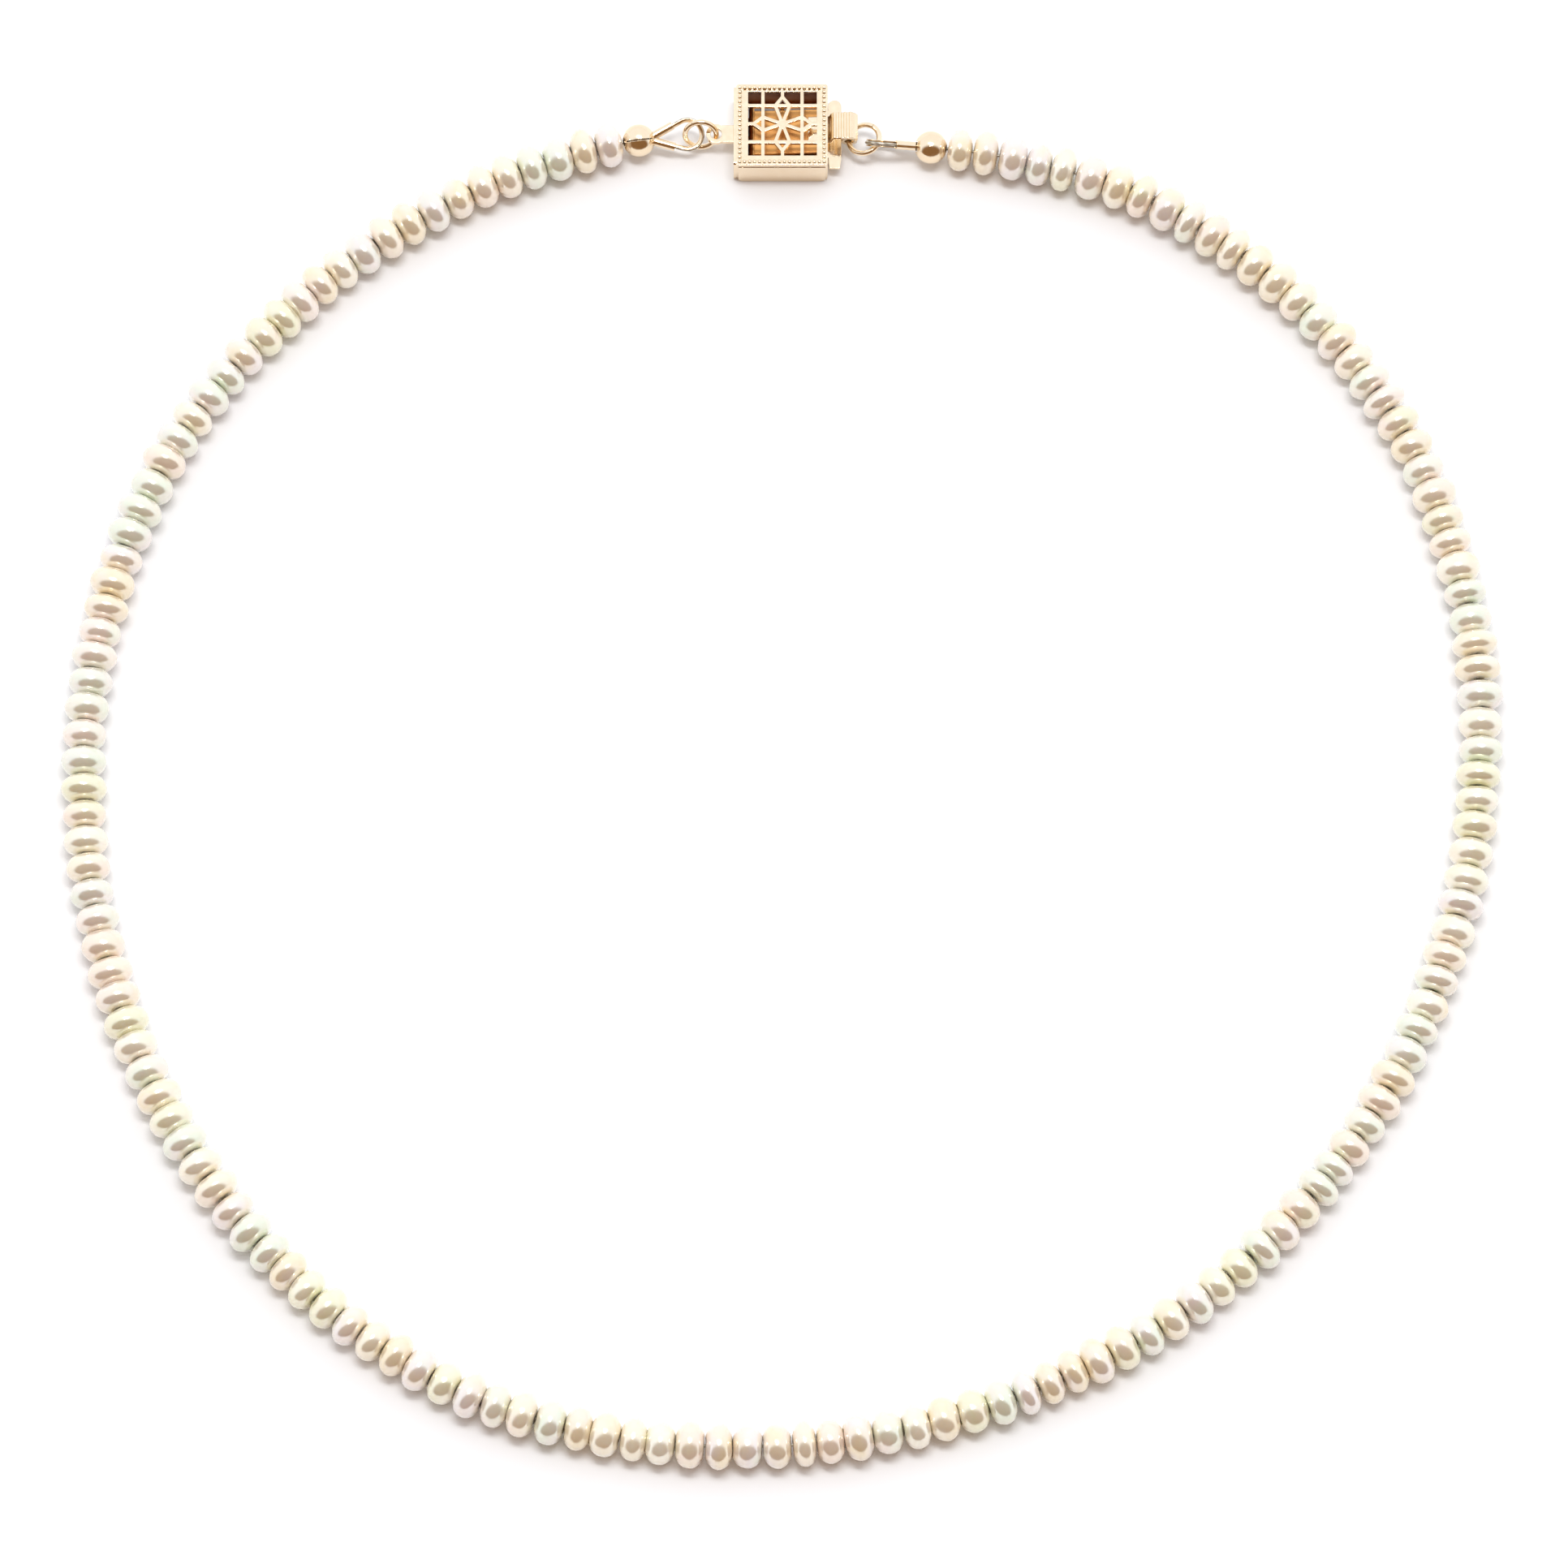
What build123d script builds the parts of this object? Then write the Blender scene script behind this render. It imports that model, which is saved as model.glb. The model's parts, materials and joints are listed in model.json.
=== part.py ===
"""Pearl necklace with a filigree box clasp, laid closed in a loop on a flat surface.

The frame: +Z up, the floor at Z = 0, the loop's middle at the origin, the clasp at +Y
and the front of the strand at -Y. All sizes are in millimetres.
"""
from build123d import *
from math import asin, atan2, cos, degrees, hypot, pi, radians, sin, sqrt
from random import Random
import os

# --------------------------------------------------------------------------- strand
PEARLS_PER_SEGMENT = 7
SEGMENTS_PER_SIDE = 10          # flexing segments each side of the front one
PEARL_PITCH = 2.55              # along the wire, pearl to pearl
PEARL_DIAMETER = 4.28           # across the wire, the mean of the strand
DIAMETER_SPREAD = 0.22          # a pearl's diameter differs from the mean by up to this
PITCH_SPREAD = 0.11             # a pearl's share of the pitch differs from 1 by up to this
PEARL_GAP = 0.10                # between neighbouring pearls, at the drill holes
BUTTON_FULLNESS = 1.07          # the pearl's ellipse over its length along the wire
DRILL_DIAMETER = 0.85
WIRE_DIAMETER = 0.33
WIRE_END_GAP = 0.02             # between the wires of neighbouring segments
SEGMENT_BOW = 0.63              # how far a segment's middle stands outside its chord

# How the strand lies: each hinge's share of the even turn, from the clasp's left end
# round the front to its right end.
TURN_SHARES = [0.98, 0.95, 1.14, 0.95, 0.88, 0.92, 0.95, 1.06, 1.2, 0.97,
               0.88, 0.9, 0.99, 0.95, 0.88, 0.87, 1.0, 1.16, 1.15, 1.27]

# ------------------------------------------------------------------- ends of strand
COVER_DIAMETER = 3.1            # crimp cover, the round bead that hides the crimp
COVER_SHEET = 0.22
COVER_SEAM = 0.12               # the slit left where the cover closes
CRIMP_DIAMETER = 1.2
CRIMP_BORE = 0.92
CRIMP_LENGTH = 1.6
WIRE_TAIL = 0.2                 # the wire's cut end, past the crimp's middle
GUARD_REACH = 6.1               # cover's centre to the middle of the guard's bend
GUARD_BEND_RADIUS = 1.45        # of the bend's centre line
GUARD_CLEARANCE = 0.055         # between the wire and the guard round it
GUARD_BORE = WIRE_DIAMETER + 2 * GUARD_CLEARANCE
GUARD_SHEET = 0.10              # of the open channel
GUARD_SLEEVE = 0.09             # extra thickness of the legs, which are closed tubes
SLEEVE_SHARE = 0.72             # of a leg's length that is a closed tube
GUARD_MOUTH = 0.21              # leg's distance from the axis where it enters the cover
LEFT_GUARD_HEADING = 7.6        # degrees in plan, from +X towards +Y
RIGHT_GUARD_HEADING = -4.9      # degrees in plan, from -X towards -Y
LEFT_GUARD_LEAN = 20            # degrees, the U's plane from level
RIGHT_GUARD_LEAN = 113
LINK_CLEARANCE = 0.08           # round the guard's legs in the cover's mouth

# ----------------------------------------------------------------------- jump rings
RING_RADIUS = 1.48              # of the wire's centre line
RING_WIRE = 0.52
RING_CUT = 0.06
LEFT_RING_CUT = 120             # degrees round the ring to its cut
RIGHT_RING_CUT = 65
LEFT_BEND_PAST = 0.2            # the left guard's bend past the ring's middle, along X
LEFT_BEND_ASIDE = 0.2
RIGHT_BEND_PAST = 1.15          # the right guard's bend past the ring's far side, along X
RIGHT_BEND_ASIDE = -0.1
LEFT_RING_LEAN = 60             # degrees, the ring's plane from level, about X
RIGHT_RING_RISE = 15            # degrees, the far side above the tongue's end loop
RIGHT_RING_TURN = -12           # degrees in plan

# ---------------------------------------------------------------------------- clasp
BOX_LENGTH = 8.9                # along X
BOX_WIDTH = 8.2                 # along Y
BOX_HEIGHT = 4.15
PLATE = 0.5                     # filigree plates
PLATE_INSET = 0.25              # the left end wall stands out past the plates by this
WALL = 0.4
PANEL = 0.2                     # the front panel stands out from the front wall
PANEL_CORNER = 0.6
SHADOW_GAP = 0.25               # between the top plate and the panel's upper edge
WINDOW = 6.5                    # the open square in the filigree
WINDOW_SHIFT_X = 0.05
WINDOW_SHIFT_Y = 0.15
BAR = 0.32                      # filigree bars
BAR_DEPTH = 0.36
ROSETTE_RADIUS = 0.48           # the boss where the petals meet
GRID_BAR = 1.85                 # grid bars, from the window's middle
PETAL_TIP = 2.73
PETAL_HALF_WIDTH = 0.68
RIM_WIDTH = 0.46                # raised band round the plate's edge
RIM_HEIGHT = 0.14

# --------------------------------------------------------------------------- tongue
STRIP = 0.3                     # thickness of the tongue's two leaves
BASE_WIDTH = 4.8
LEAF_WIDTH = 4.4
BASE_HEIGHT = 1.45              # the lower leaf's underside
SLOT_SIDE = 0.1                 # slot's clearance beside and under the lower leaf
LIP_CLEARANCE = 0.1             # over the pressed leaf's edge, under the lip that latches it
FOLD_REACH = 6.95               # from the right wall's outside in to the fold
FOLD_CLEARANCE = 0.05           # round the upper leaf's edge in the fold
LATCH_GAP = 0.1                 # leaf's edge to the wall it catches behind
LEAF_SLOPE = 4.9                # degrees, the leaf just low enough to pass the lip
WING_GAP = 0.05                 # wings to the wall
WING_LENGTH = 1.25              # along X
WING_SPAN = 6.9                 # along Y
WING_FRONT_END = 1.0            # width of the tapered front end
THUMB_WIDTH = 2.6
THUMB_SHEET = 0.3
THUMB_FOOT = 1.3                # the tab's strip lies on the leaf for this length
THUMB_TOP = 1.15                # the ribbed top above the leaf's middle
THUMB_TOP_LENGTH = 2.2
THUMB_REACH = 9.75              # from the fold to the tab's end
THUMB_DROP = 0.6                # how far the tab's end turns down
NOTCH_SIDE = 0.15
RIB_COUNT = 4
RIB_PITCH = 0.5
RIB_RADIUS = 0.15

# ------------------------------------------------------------------------ end loops
END_TAB_WIDTH = 1.7
END_TAB_THICKNESS = 0.5
END_LOOP_REACH = 1.65           # the left loop's centre from the box's end
END_LOOP_CLEARANCE = 0.3        # round the ring's wire in the left loop
END_LOOP_WALL = 0.39
END_TAB_SHIFT = -0.2
KNUCKLE_CLEARANCE = 0.2         # round the ring's wire in the tongue's loop
KNUCKLE_WALL = 0.29
KNUCKLE_WIDTH = 0.8
KNUCKLE_SHIFT = -0.3

# --------------------------------------------------------------------- worked-out values
WIRE_HEIGHT = PEARL_DIAMETER / 2
SEGMENT_COUNT = 2 * SEGMENTS_PER_SIDE + 1
SEGMENT_LENGTH = PEARLS_PER_SEGMENT * PEARL_PITCH
BOW_RADIUS = (SEGMENT_LENGTH**2 / 4 + SEGMENT_BOW**2) / (2 * SEGMENT_BOW)
BOW_ANGLE = 2 * asin(SEGMENT_LENGTH / 2 / BOW_RADIUS)
WALL_HEIGHT = BOX_HEIGHT - PLATE
BASE_TOP = BASE_HEIGHT + STRIP
FOLD_X = BOX_LENGTH / 2 - FOLD_REACH
FOLD_BORE = STRIP / 2 + FOLD_CLEARANCE
FOLD_OUTER = FOLD_BORE + STRIP
FOLD_Z = BASE_HEIGHT + FOLD_OUTER
EDGE_REACH = FOLD_REACH - WALL - LATCH_GAP
LEAF_EDGE_TOP = FOLD_Z + EDGE_REACH * sin(radians(LEAF_SLOPE)) + STRIP / 2 * cos(radians(LEAF_SLOPE))
SLOT_TOP = LEAF_EDGE_TOP + LIP_CLEARANCE
WING_X = BOX_LENGTH / 2 + WING_GAP
END_LOOP_HOLE = RING_WIRE / 2 + END_LOOP_CLEARANCE
END_LOOP_OUTER = END_LOOP_HOLE + END_LOOP_WALL
KNUCKLE_HOLE = RING_WIRE / 2 + KNUCKLE_CLEARANCE
KNUCKLE_OUTER = KNUCKLE_HOLE + KNUCKLE_WALL
KNUCKLE_X = WING_X + WING_LENGTH + KNUCKLE_OUTER
KNUCKLE_Z = BASE_HEIGHT + STRIP / 2
LINK_Z = WIRE_HEIGHT


def in_plan(angle, length=1.0):
    """A level vector at this angle from +X."""
    return Vector(length * cos(radians(angle)), length * sin(radians(angle)), 0)


# Places in the clasp's own plan, measured from the middle of the box.
left_loop_spot = Vector(-BOX_LENGTH / 2 - END_LOOP_REACH, END_TAB_SHIFT, LINK_Z)
left_ring_spot = left_loop_spot - Vector(RING_RADIUS, 0, 0)
left_bend_spot = left_ring_spot + Vector(LEFT_BEND_PAST, LEFT_BEND_ASIDE, 0)
left_cover_spot = left_bend_spot - in_plan(LEFT_GUARD_HEADING, GUARD_REACH)
knuckle_spot = Vector(KNUCKLE_X, KNUCKLE_SHIFT, KNUCKLE_Z)
right_ring_reach = in_plan(RIGHT_RING_TURN, cos(radians(RIGHT_RING_RISE)))
right_ring_reach = right_ring_reach + Vector(0, 0, sin(radians(RIGHT_RING_RISE)))
right_ring_spot = knuckle_spot + right_ring_reach * RING_RADIUS
right_link_spot = right_ring_spot + right_ring_reach * RING_RADIUS
right_bend_spot = Vector(right_link_spot.X - RIGHT_BEND_PAST, right_link_spot.Y + RIGHT_BEND_ASIDE, LINK_Z)
right_cover_spot = right_bend_spot + in_plan(RIGHT_GUARD_HEADING, GUARD_REACH)
END_STEP = (COVER_DIAMETER + PEARL_GAP) / 2
left_end_spot = left_cover_spot - in_plan(LEFT_GUARD_HEADING, END_STEP)
right_end_spot = right_cover_spot + in_plan(RIGHT_GUARD_HEADING, END_STEP)


def walk_strand(start, heading, even_turn):
    """The strand's hinge points from one end, each a segment's length from the last."""
    points = [start]
    for share in [0] + TURN_SHARES:
        heading = heading + even_turn * share
        points.append(points[-1] + in_plan(heading, SEGMENT_LENGTH))
    return points


def close_strand(start, end):
    """The hinge points of a strand that starts and ends at these two points."""
    heading, even_turn, step = -160.0, 16.25, 1e-4
    for _ in range(30):
        miss = walk_strand(start, heading, even_turn)[-1] - end
        by_heading = walk_strand(start, heading + step, even_turn)[-1] - end - miss
        by_turn = walk_strand(start, heading, even_turn + step)[-1] - end - miss
        scale = by_heading.X * by_turn.Y - by_heading.Y * by_turn.X
        heading -= step * (miss.X * by_turn.Y - miss.Y * by_turn.X) / scale
        even_turn -= step * (by_heading.X * miss.Y - by_heading.Y * miss.X) / scale
    return walk_strand(start, heading, even_turn)


# The clasp's middle goes where the whole loop is centred on the origin.
plan_points = close_strand(left_end_spot, right_end_spot)
plan_xs = [point.X for point in plan_points]
plan_ys = [point.Y for point in plan_points]
front_edge = min(plan_ys) - (PEARL_DIAMETER + DIAMETER_SPREAD) / 2 - SEGMENT_BOW / 2
CLASP_CENTRE = Vector(-(min(plan_xs) + max(plan_xs)) / 2, -(front_edge + BOX_WIDTH / 2) / 2, 0)
hinge_points = [point + CLASP_CENTRE for point in plan_points]
for point in hinge_points:
    point.Z = WIRE_HEIGHT


def clasp_plane(x=0, y=0, z=0, x_dir=(1, 0, 0), z_dir=(0, 0, 1)):
    """A plane at a place measured from the middle of the clasp."""
    return Plane(origin=CLASP_CENTRE + Vector(x, y, z), x_dir=x_dir, z_dir=z_dir)


def finish(piece, label):
    """Name a finished piece and write it."""
    piece.part.label = label
    export_step(piece.part, f"parts/{label}.step")


os.makedirs("parts", exist_ok=True)
variation = Random(147)


# ---------------------------------------------------------------- pearls and wire
def segment_plane(index):
    """The plane of a segment: X from its first hinge to its last, Z up."""
    start, end = hinge_points[index], hinge_points[index + 1]
    return Plane(origin=start, x_dir=end - start, z_dir=(0, 0, 1))


def pearl_axis_plane(index, angle, radius):
    """The upright plane through a pearl's middle: X along the wire, Y up from the floor."""
    segment = segment_plane(index)
    x = SEGMENT_LENGTH / 2 + BOW_RADIUS * sin(angle)
    y = BOW_RADIUS * (cos(BOW_ANGLE / 2) - cos(angle))
    centre = segment.from_local_coords((x, y, radius - WIRE_HEIGHT))
    along = segment.x_dir * cos(angle) + segment.y_dir * sin(angle)
    return Plane(origin=centre, x_dir=along, z_dir=along.cross(Vector(0, 0, 1)))


def make_pearls(index, label):
    """Seven drilled pearls side by side, each standing on the floor."""
    shares = [1 + variation.uniform(-PITCH_SPREAD, PITCH_SPREAD) for _ in range(PEARLS_PER_SEGMENT)]
    angle = -BOW_ANGLE / 2
    with BuildPart() as pearls:
        for share in shares:
            turn = BOW_ANGLE * share / sum(shares)
            length = turn * BOW_RADIUS - PEARL_GAP
            radius = (PEARL_DIAMETER + variation.uniform(-DIAMETER_SPREAD, DIAMETER_SPREAD)) / 2
            plane = pearl_axis_plane(index, angle + turn / 2, radius)
            angle += turn
            with BuildSketch(plane):
                Ellipse(length / 2 * BUTTON_FULLNESS, radius)
                with Locations((0, DRILL_DIAMETER / 2)):
                    Rectangle(length, radius, align=(Align.CENTER, Align.MIN), mode=Mode.INTERSECT)
            revolve(axis=Axis(plane.origin, plane.x_dir))
    finish(pearls, label)


def make_wire(index, label):
    """The stringing wire of one segment, an arc that ends just short of each hinge."""
    segment = segment_plane(index)
    centre = segment.from_local_coords((SEGMENT_LENGTH / 2, BOW_RADIUS * cos(BOW_ANGLE / 2), 0))
    trim = degrees(WIRE_END_GAP / 2 / BOW_RADIUS)
    outward = (segment.origin - centre).rotate(Axis.Z, trim)
    with BuildPart() as wire:
        with BuildSketch(Plane(origin=centre + outward, x_dir=outward, z_dir=Vector(0, 0, 1).cross(outward))):
            Circle(WIRE_DIAMETER / 2)
        revolve(axis=Axis(centre, (0, 0, 1)), revolution_arc=degrees(BOW_ANGLE) - 2 * trim)
    finish(wire, label)


def segment_name(index):
    """Counted from the front segment towards the clasp on each side."""
    steps = index - SEGMENTS_PER_SIDE
    if steps == 0:
        return "front"
    return f"left_{-steps}" if steps < 0 else f"right_{steps}"


for index in range(SEGMENT_COUNT):
    make_pearls(index, f"pearls_{segment_name(index)}")
    make_wire(index, f"wire_{segment_name(index)}")


# ------------------------------------------------------- guards, covers and crimps
def end_frame(cover_spot, bend_spot, lean):
    """The frame of a strand end: origin in the cover, X to the bend, Z across the U."""
    origin = CLASP_CENTRE + Vector(cover_spot.X, cover_spot.Y, WIRE_HEIGHT)
    along = Vector(bend_spot.X - cover_spot.X, bend_spot.Y - cover_spot.Y, 0).normalized()
    level = Vector(0, 0, 1).cross(along)
    side = 1 if along.X > 0 else -1
    across = level * (side * cos(radians(lean))) + Vector(0, 0, sin(radians(lean)))
    return Plane(origin=origin, x_dir=along, z_dir=along.cross(across) * side)


left_frame = end_frame(left_cover_spot, left_bend_spot, LEFT_GUARD_LEAN)
right_frame = end_frame(right_cover_spot, right_bend_spot, RIGHT_GUARD_LEAN)

COVER_RADIUS = COVER_DIAMETER / 2
SLEEVE_RADIUS = GUARD_BORE / 2 + GUARD_SHEET + GUARD_SLEEVE
CHANNEL_RADIUS = GUARD_BORE / 2 + GUARD_SHEET
LEG_START = sqrt(COVER_RADIUS**2 - (GUARD_MOUTH + SLEEVE_RADIUS)**2) - COVER_SHEET / 2
BEND_X = GUARD_REACH - GUARD_BEND_RADIUS
leg_span = hypot(BEND_X - LEG_START, GUARD_MOUTH)
LEG_LENGTH = sqrt(leg_span**2 - GUARD_BEND_RADIUS**2)
LEG_SLOPE = asin(GUARD_BEND_RADIUS / leg_span) - atan2(GUARD_MOUTH, BEND_X - LEG_START)
SLEEVE_LENGTH = LEG_LENGTH * SLEEVE_SHARE


def plane_in(frame, origin, x_dir, z_dir):
    """A plane whose origin and directions are given in the frame's own coordinates."""
    turned = [frame.x_dir * d[0] + frame.y_dir * d[1] + frame.z_dir * d[2] for d in (x_dir, z_dir)]
    return Plane(origin=frame.from_local_coords(origin), x_dir=turned[0], z_dir=turned[1])


def leg_plane(frame, side):
    """Where a leg enters the cover: Z along the leg to the bend, X away from the other leg."""
    away = (-sin(LEG_SLOPE), side * cos(LEG_SLOPE), 0)
    along = (cos(LEG_SLOPE), side * sin(LEG_SLOPE), 0)
    return plane_in(frame, (LEG_START, side * GUARD_MOUTH, 0), away, along)


def bend_start_plane(frame):
    """The bend's section where it leaves the lower leg: X away from the bend's centre."""
    angle = -(pi / 2 + LEG_SLOPE)
    away = (cos(angle), sin(angle), 0)
    origin = (BEND_X + away[0] * GUARD_BEND_RADIUS, away[1] * GUARD_BEND_RADIUS, 0)
    return plane_in(frame, origin, away, (-sin(angle), cos(angle), 0))


def bend_axis(frame):
    """The line through the bend's centre, square to the U."""
    return Axis(frame.from_local_coords((BEND_X, 0, 0)), frame.z_dir)


BEND_ANGLE = 180 + 2 * degrees(LEG_SLOPE)


def channel_section(plane):
    """A round channel, open on the side away from the bend's centre."""
    with BuildSketch(plane) as section:
        Circle(CHANNEL_RADIUS)
        Circle(GUARD_BORE / 2, mode=Mode.SUBTRACT)
        with Locations((CHANNEL_RADIUS + GUARD_SHEET / 2, 0)):
            Rectangle(2 * CHANNEL_RADIUS, 2 * CHANNEL_RADIUS, mode=Mode.SUBTRACT)
    return section.sketch


def make_guard(frame, label):
    """The U-shaped guard: two closed sleeves joined by an open channel round the bend."""
    with BuildPart() as guard:
        for side in (-1, 1):
            extrude(channel_section(leg_plane(frame, side)), amount=LEG_LENGTH)
        section = channel_section(bend_start_plane(frame))
        revolve(section, axis=bend_axis(frame), revolution_arc=BEND_ANGLE)
        for side in (-1, 1):
            with BuildSketch(leg_plane(frame, side)):
                Circle(SLEEVE_RADIUS)
            extrude(amount=SLEEVE_LENGTH)
        for side in (-1, 1):
            with BuildSketch(leg_plane(frame, side)):
                Circle(GUARD_BORE / 2)
            extrude(amount=LEG_LENGTH, mode=Mode.SUBTRACT)
    finish(guard, label)


def make_cover(frame, label):
    """The hollow bead, with a mouth for the guard, a hole for the wire and a closing seam."""
    inner_radius = COVER_RADIUS - COVER_SHEET
    mouth_width = 2 * (GUARD_MOUTH + SLEEVE_RADIUS + LINK_CLEARANCE + COVER_SHEET * sin(LEG_SLOPE))
    mouth_height = 2 * (SLEEVE_RADIUS + LINK_CLEARANCE)
    with BuildPart() as cover:
        with BuildSketch(frame):
            Circle(COVER_RADIUS)
            Circle(inner_radius, mode=Mode.SUBTRACT)
            Rectangle(COVER_DIAMETER, COVER_DIAMETER, align=(Align.CENTER, Align.MAX), mode=Mode.SUBTRACT)
            Rectangle(COVER_DIAMETER, WIRE_DIAMETER, align=(Align.MAX, Align.MIN), mode=Mode.SUBTRACT)
        revolve(axis=Axis(frame.origin, frame.x_dir))
        with BuildSketch(plane_in(frame, (inner_radius / 2, 0, 0), (0, 1, 0), (1, 0, 0))):
            Rectangle(mouth_width, mouth_height)
        extrude(amount=COVER_RADIUS, mode=Mode.SUBTRACT)
        with BuildSketch(plane_in(frame, (0, 0, inner_radius / 2), (1, 0, 0), (0, 0, 1))):
            Rectangle(COVER_DIAMETER + COVER_SHEET, COVER_SEAM)
        extrude(amount=COVER_RADIUS, mode=Mode.SUBTRACT)
    finish(cover, label)


def make_crimp(frame, label):
    """The crimp tube inside the cover, which grips the wire and its returning end."""
    with BuildPart(frame) as crimp:
        Cylinder(CRIMP_DIAMETER / 2, CRIMP_LENGTH, rotation=(0, 90, 0))
        Cylinder(CRIMP_BORE / 2, CRIMP_LENGTH, rotation=(0, 90, 0), mode=Mode.SUBTRACT)
    finish(crimp, label)


def make_wire_loop(frame, label):
    """The wire's end: in through the crimp, round the guard and back into the crimp."""
    bend_foot_x = BEND_X - GUARD_BEND_RADIUS * sin(LEG_SLOPE)
    bend_foot_y = GUARD_BEND_RADIUS * cos(LEG_SLOPE)
    with BuildPart() as loop:
        with BuildLine(frame) as route:
            Line((-END_STEP, 0), (LEG_START, GUARD_MOUTH))
            Line((LEG_START, GUARD_MOUTH), (bend_foot_x, bend_foot_y))
            ThreePointArc((bend_foot_x, bend_foot_y), (GUARD_REACH, 0), (bend_foot_x, -bend_foot_y))
            Line((bend_foot_x, -bend_foot_y), (LEG_START, -GUARD_MOUTH))
            Line((LEG_START, -GUARD_MOUTH), (WIRE_TAIL, -GUARD_MOUTH))
        with BuildSketch(Plane(origin=route.wire() @ 0, z_dir=route.wire() % 0)):
            Circle(WIRE_DIAMETER / 2)
        sweep(transition=Transition.ROUND)
    finish(loop, label)


for side_name, frame in (("left", left_frame), ("right", right_frame)):
    make_guard(frame, f"wire_guard_{side_name}")
    make_cover(frame, f"crimp_cover_{side_name}")
    make_crimp(frame, f"crimp_tube_{side_name}")
    make_wire_loop(frame, f"wire_loop_{side_name}")


# ----------------------------------------------------------------------- jump rings
def make_ring(plane, cut_angle, label):
    """A round wire ring with the fine cut where it was closed."""
    with BuildPart(plane) as ring:
        Torus(RING_RADIUS, RING_WIRE / 2)
        with PolarLocations(RING_RADIUS, 1, start_angle=cut_angle):
            Box(2 * RING_WIRE, RING_CUT, 2 * RING_WIRE, mode=Mode.SUBTRACT)
    finish(ring, label)


lean = radians(LEFT_RING_LEAN)
left_ring_plane = clasp_plane(*left_ring_spot, z_dir=(0, -sin(lean), cos(lean)))
make_ring(left_ring_plane, LEFT_RING_CUT, "jump_ring_left")
right_ring_normal = right_ring_reach.cross(in_plan(90 + RIGHT_RING_TURN))
right_ring_plane = clasp_plane(*right_ring_spot, x_dir=right_ring_reach, z_dir=right_ring_normal)
make_ring(right_ring_plane, RIGHT_RING_CUT, "jump_ring_right")


# -------------------------------------------------------------------- filigree plates
PLATE_LENGTH = BOX_LENGTH - PLATE_INSET
PLATE_X = PLATE_INSET / 2
HALF_WINDOW = WINDOW / 2


def filigree_bars():
    """The ends of each bar: a grid with a four-petalled star on it, in the window's own plan."""
    reach = HALF_WINDOW + BAR / 2
    bars = []
    for place in (-GRID_BAR, GRID_BAR):
        bars.append((Vector(place, -reach), Vector(place, reach)))
        bars.append((Vector(-reach, place), Vector(reach, place)))
    for quarter in range(4):
        out = in_plan(90 * quarter)
        along = in_plan(90 * quarter + 90)
        tip = out * PETAL_TIP
        bars.append((out * reach, tip))
        for side in (-1, 1):
            corner = out * GRID_BAR + along * (side * PETAL_HALF_WIDTH)
            bars.append((tip, corner))
            bars.append((corner, Vector(0, 0)))
    return bars


def make_filigree(label, underside, face_up, front_inset):
    """A pierced plate with a raised rim; face_up says which side carries the rim."""
    sheet_z = underside if face_up else underside + RIM_HEIGHT
    rim_z = underside + PLATE - RIM_HEIGHT if face_up else underside
    bar_z = underside + PLATE - RIM_HEIGHT - BAR_DEPTH if face_up else sheet_z
    depth = BOX_WIDTH - front_inset
    middle_y = front_inset / 2
    with BuildPart() as plate:
        with BuildSketch(clasp_plane(PLATE_X, middle_y, sheet_z)):
            RectangleRounded(PLATE_LENGTH, depth, RIM_WIDTH / 2)
        extrude(amount=PLATE - RIM_HEIGHT)
        with BuildSketch(clasp_plane(PLATE_X, middle_y, rim_z)):
            RectangleRounded(PLATE_LENGTH, depth, RIM_WIDTH / 2)
            Rectangle(PLATE_LENGTH - 2 * RIM_WIDTH, depth - 2 * RIM_WIDTH, mode=Mode.SUBTRACT)
        extrude(amount=RIM_HEIGHT)
        with BuildSketch(clasp_plane(WINDOW_SHIFT_X + PLATE_X, WINDOW_SHIFT_Y, sheet_z)):
            Rectangle(WINDOW, WINDOW)
        extrude(amount=PLATE - RIM_HEIGHT, mode=Mode.SUBTRACT)
        with BuildSketch(clasp_plane(WINDOW_SHIFT_X + PLATE_X, WINDOW_SHIFT_Y, bar_z)):
            for start, end in filigree_bars():
                angle = degrees(atan2(end.Y - start.Y, end.X - start.X))
                with Locations(Location((start + end) / 2, angle)):
                    SlotCenterToCenter((end - start).length, BAR)
            Circle(ROSETTE_RADIUS)
        extrude(amount=BAR_DEPTH)
    finish(plate, label)


make_filigree("filigree_top", WALL_HEIGHT, True, 0)
make_filigree("filigree_bottom", 0, False, PANEL)

# ----------------------------------------------------------------------- box walls
INNER_LENGTH = BOX_LENGTH - PLATE_INSET - 2 * WALL
INNER_WIDTH = BOX_WIDTH - PANEL - 2 * WALL
slot_width = BASE_WIDTH + 2 * SLOT_SIDE
slot_bottom = BASE_HEIGHT - SLOT_SIDE
notch_width = THUMB_WIDTH + 2 * NOTCH_SIDE

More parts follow.
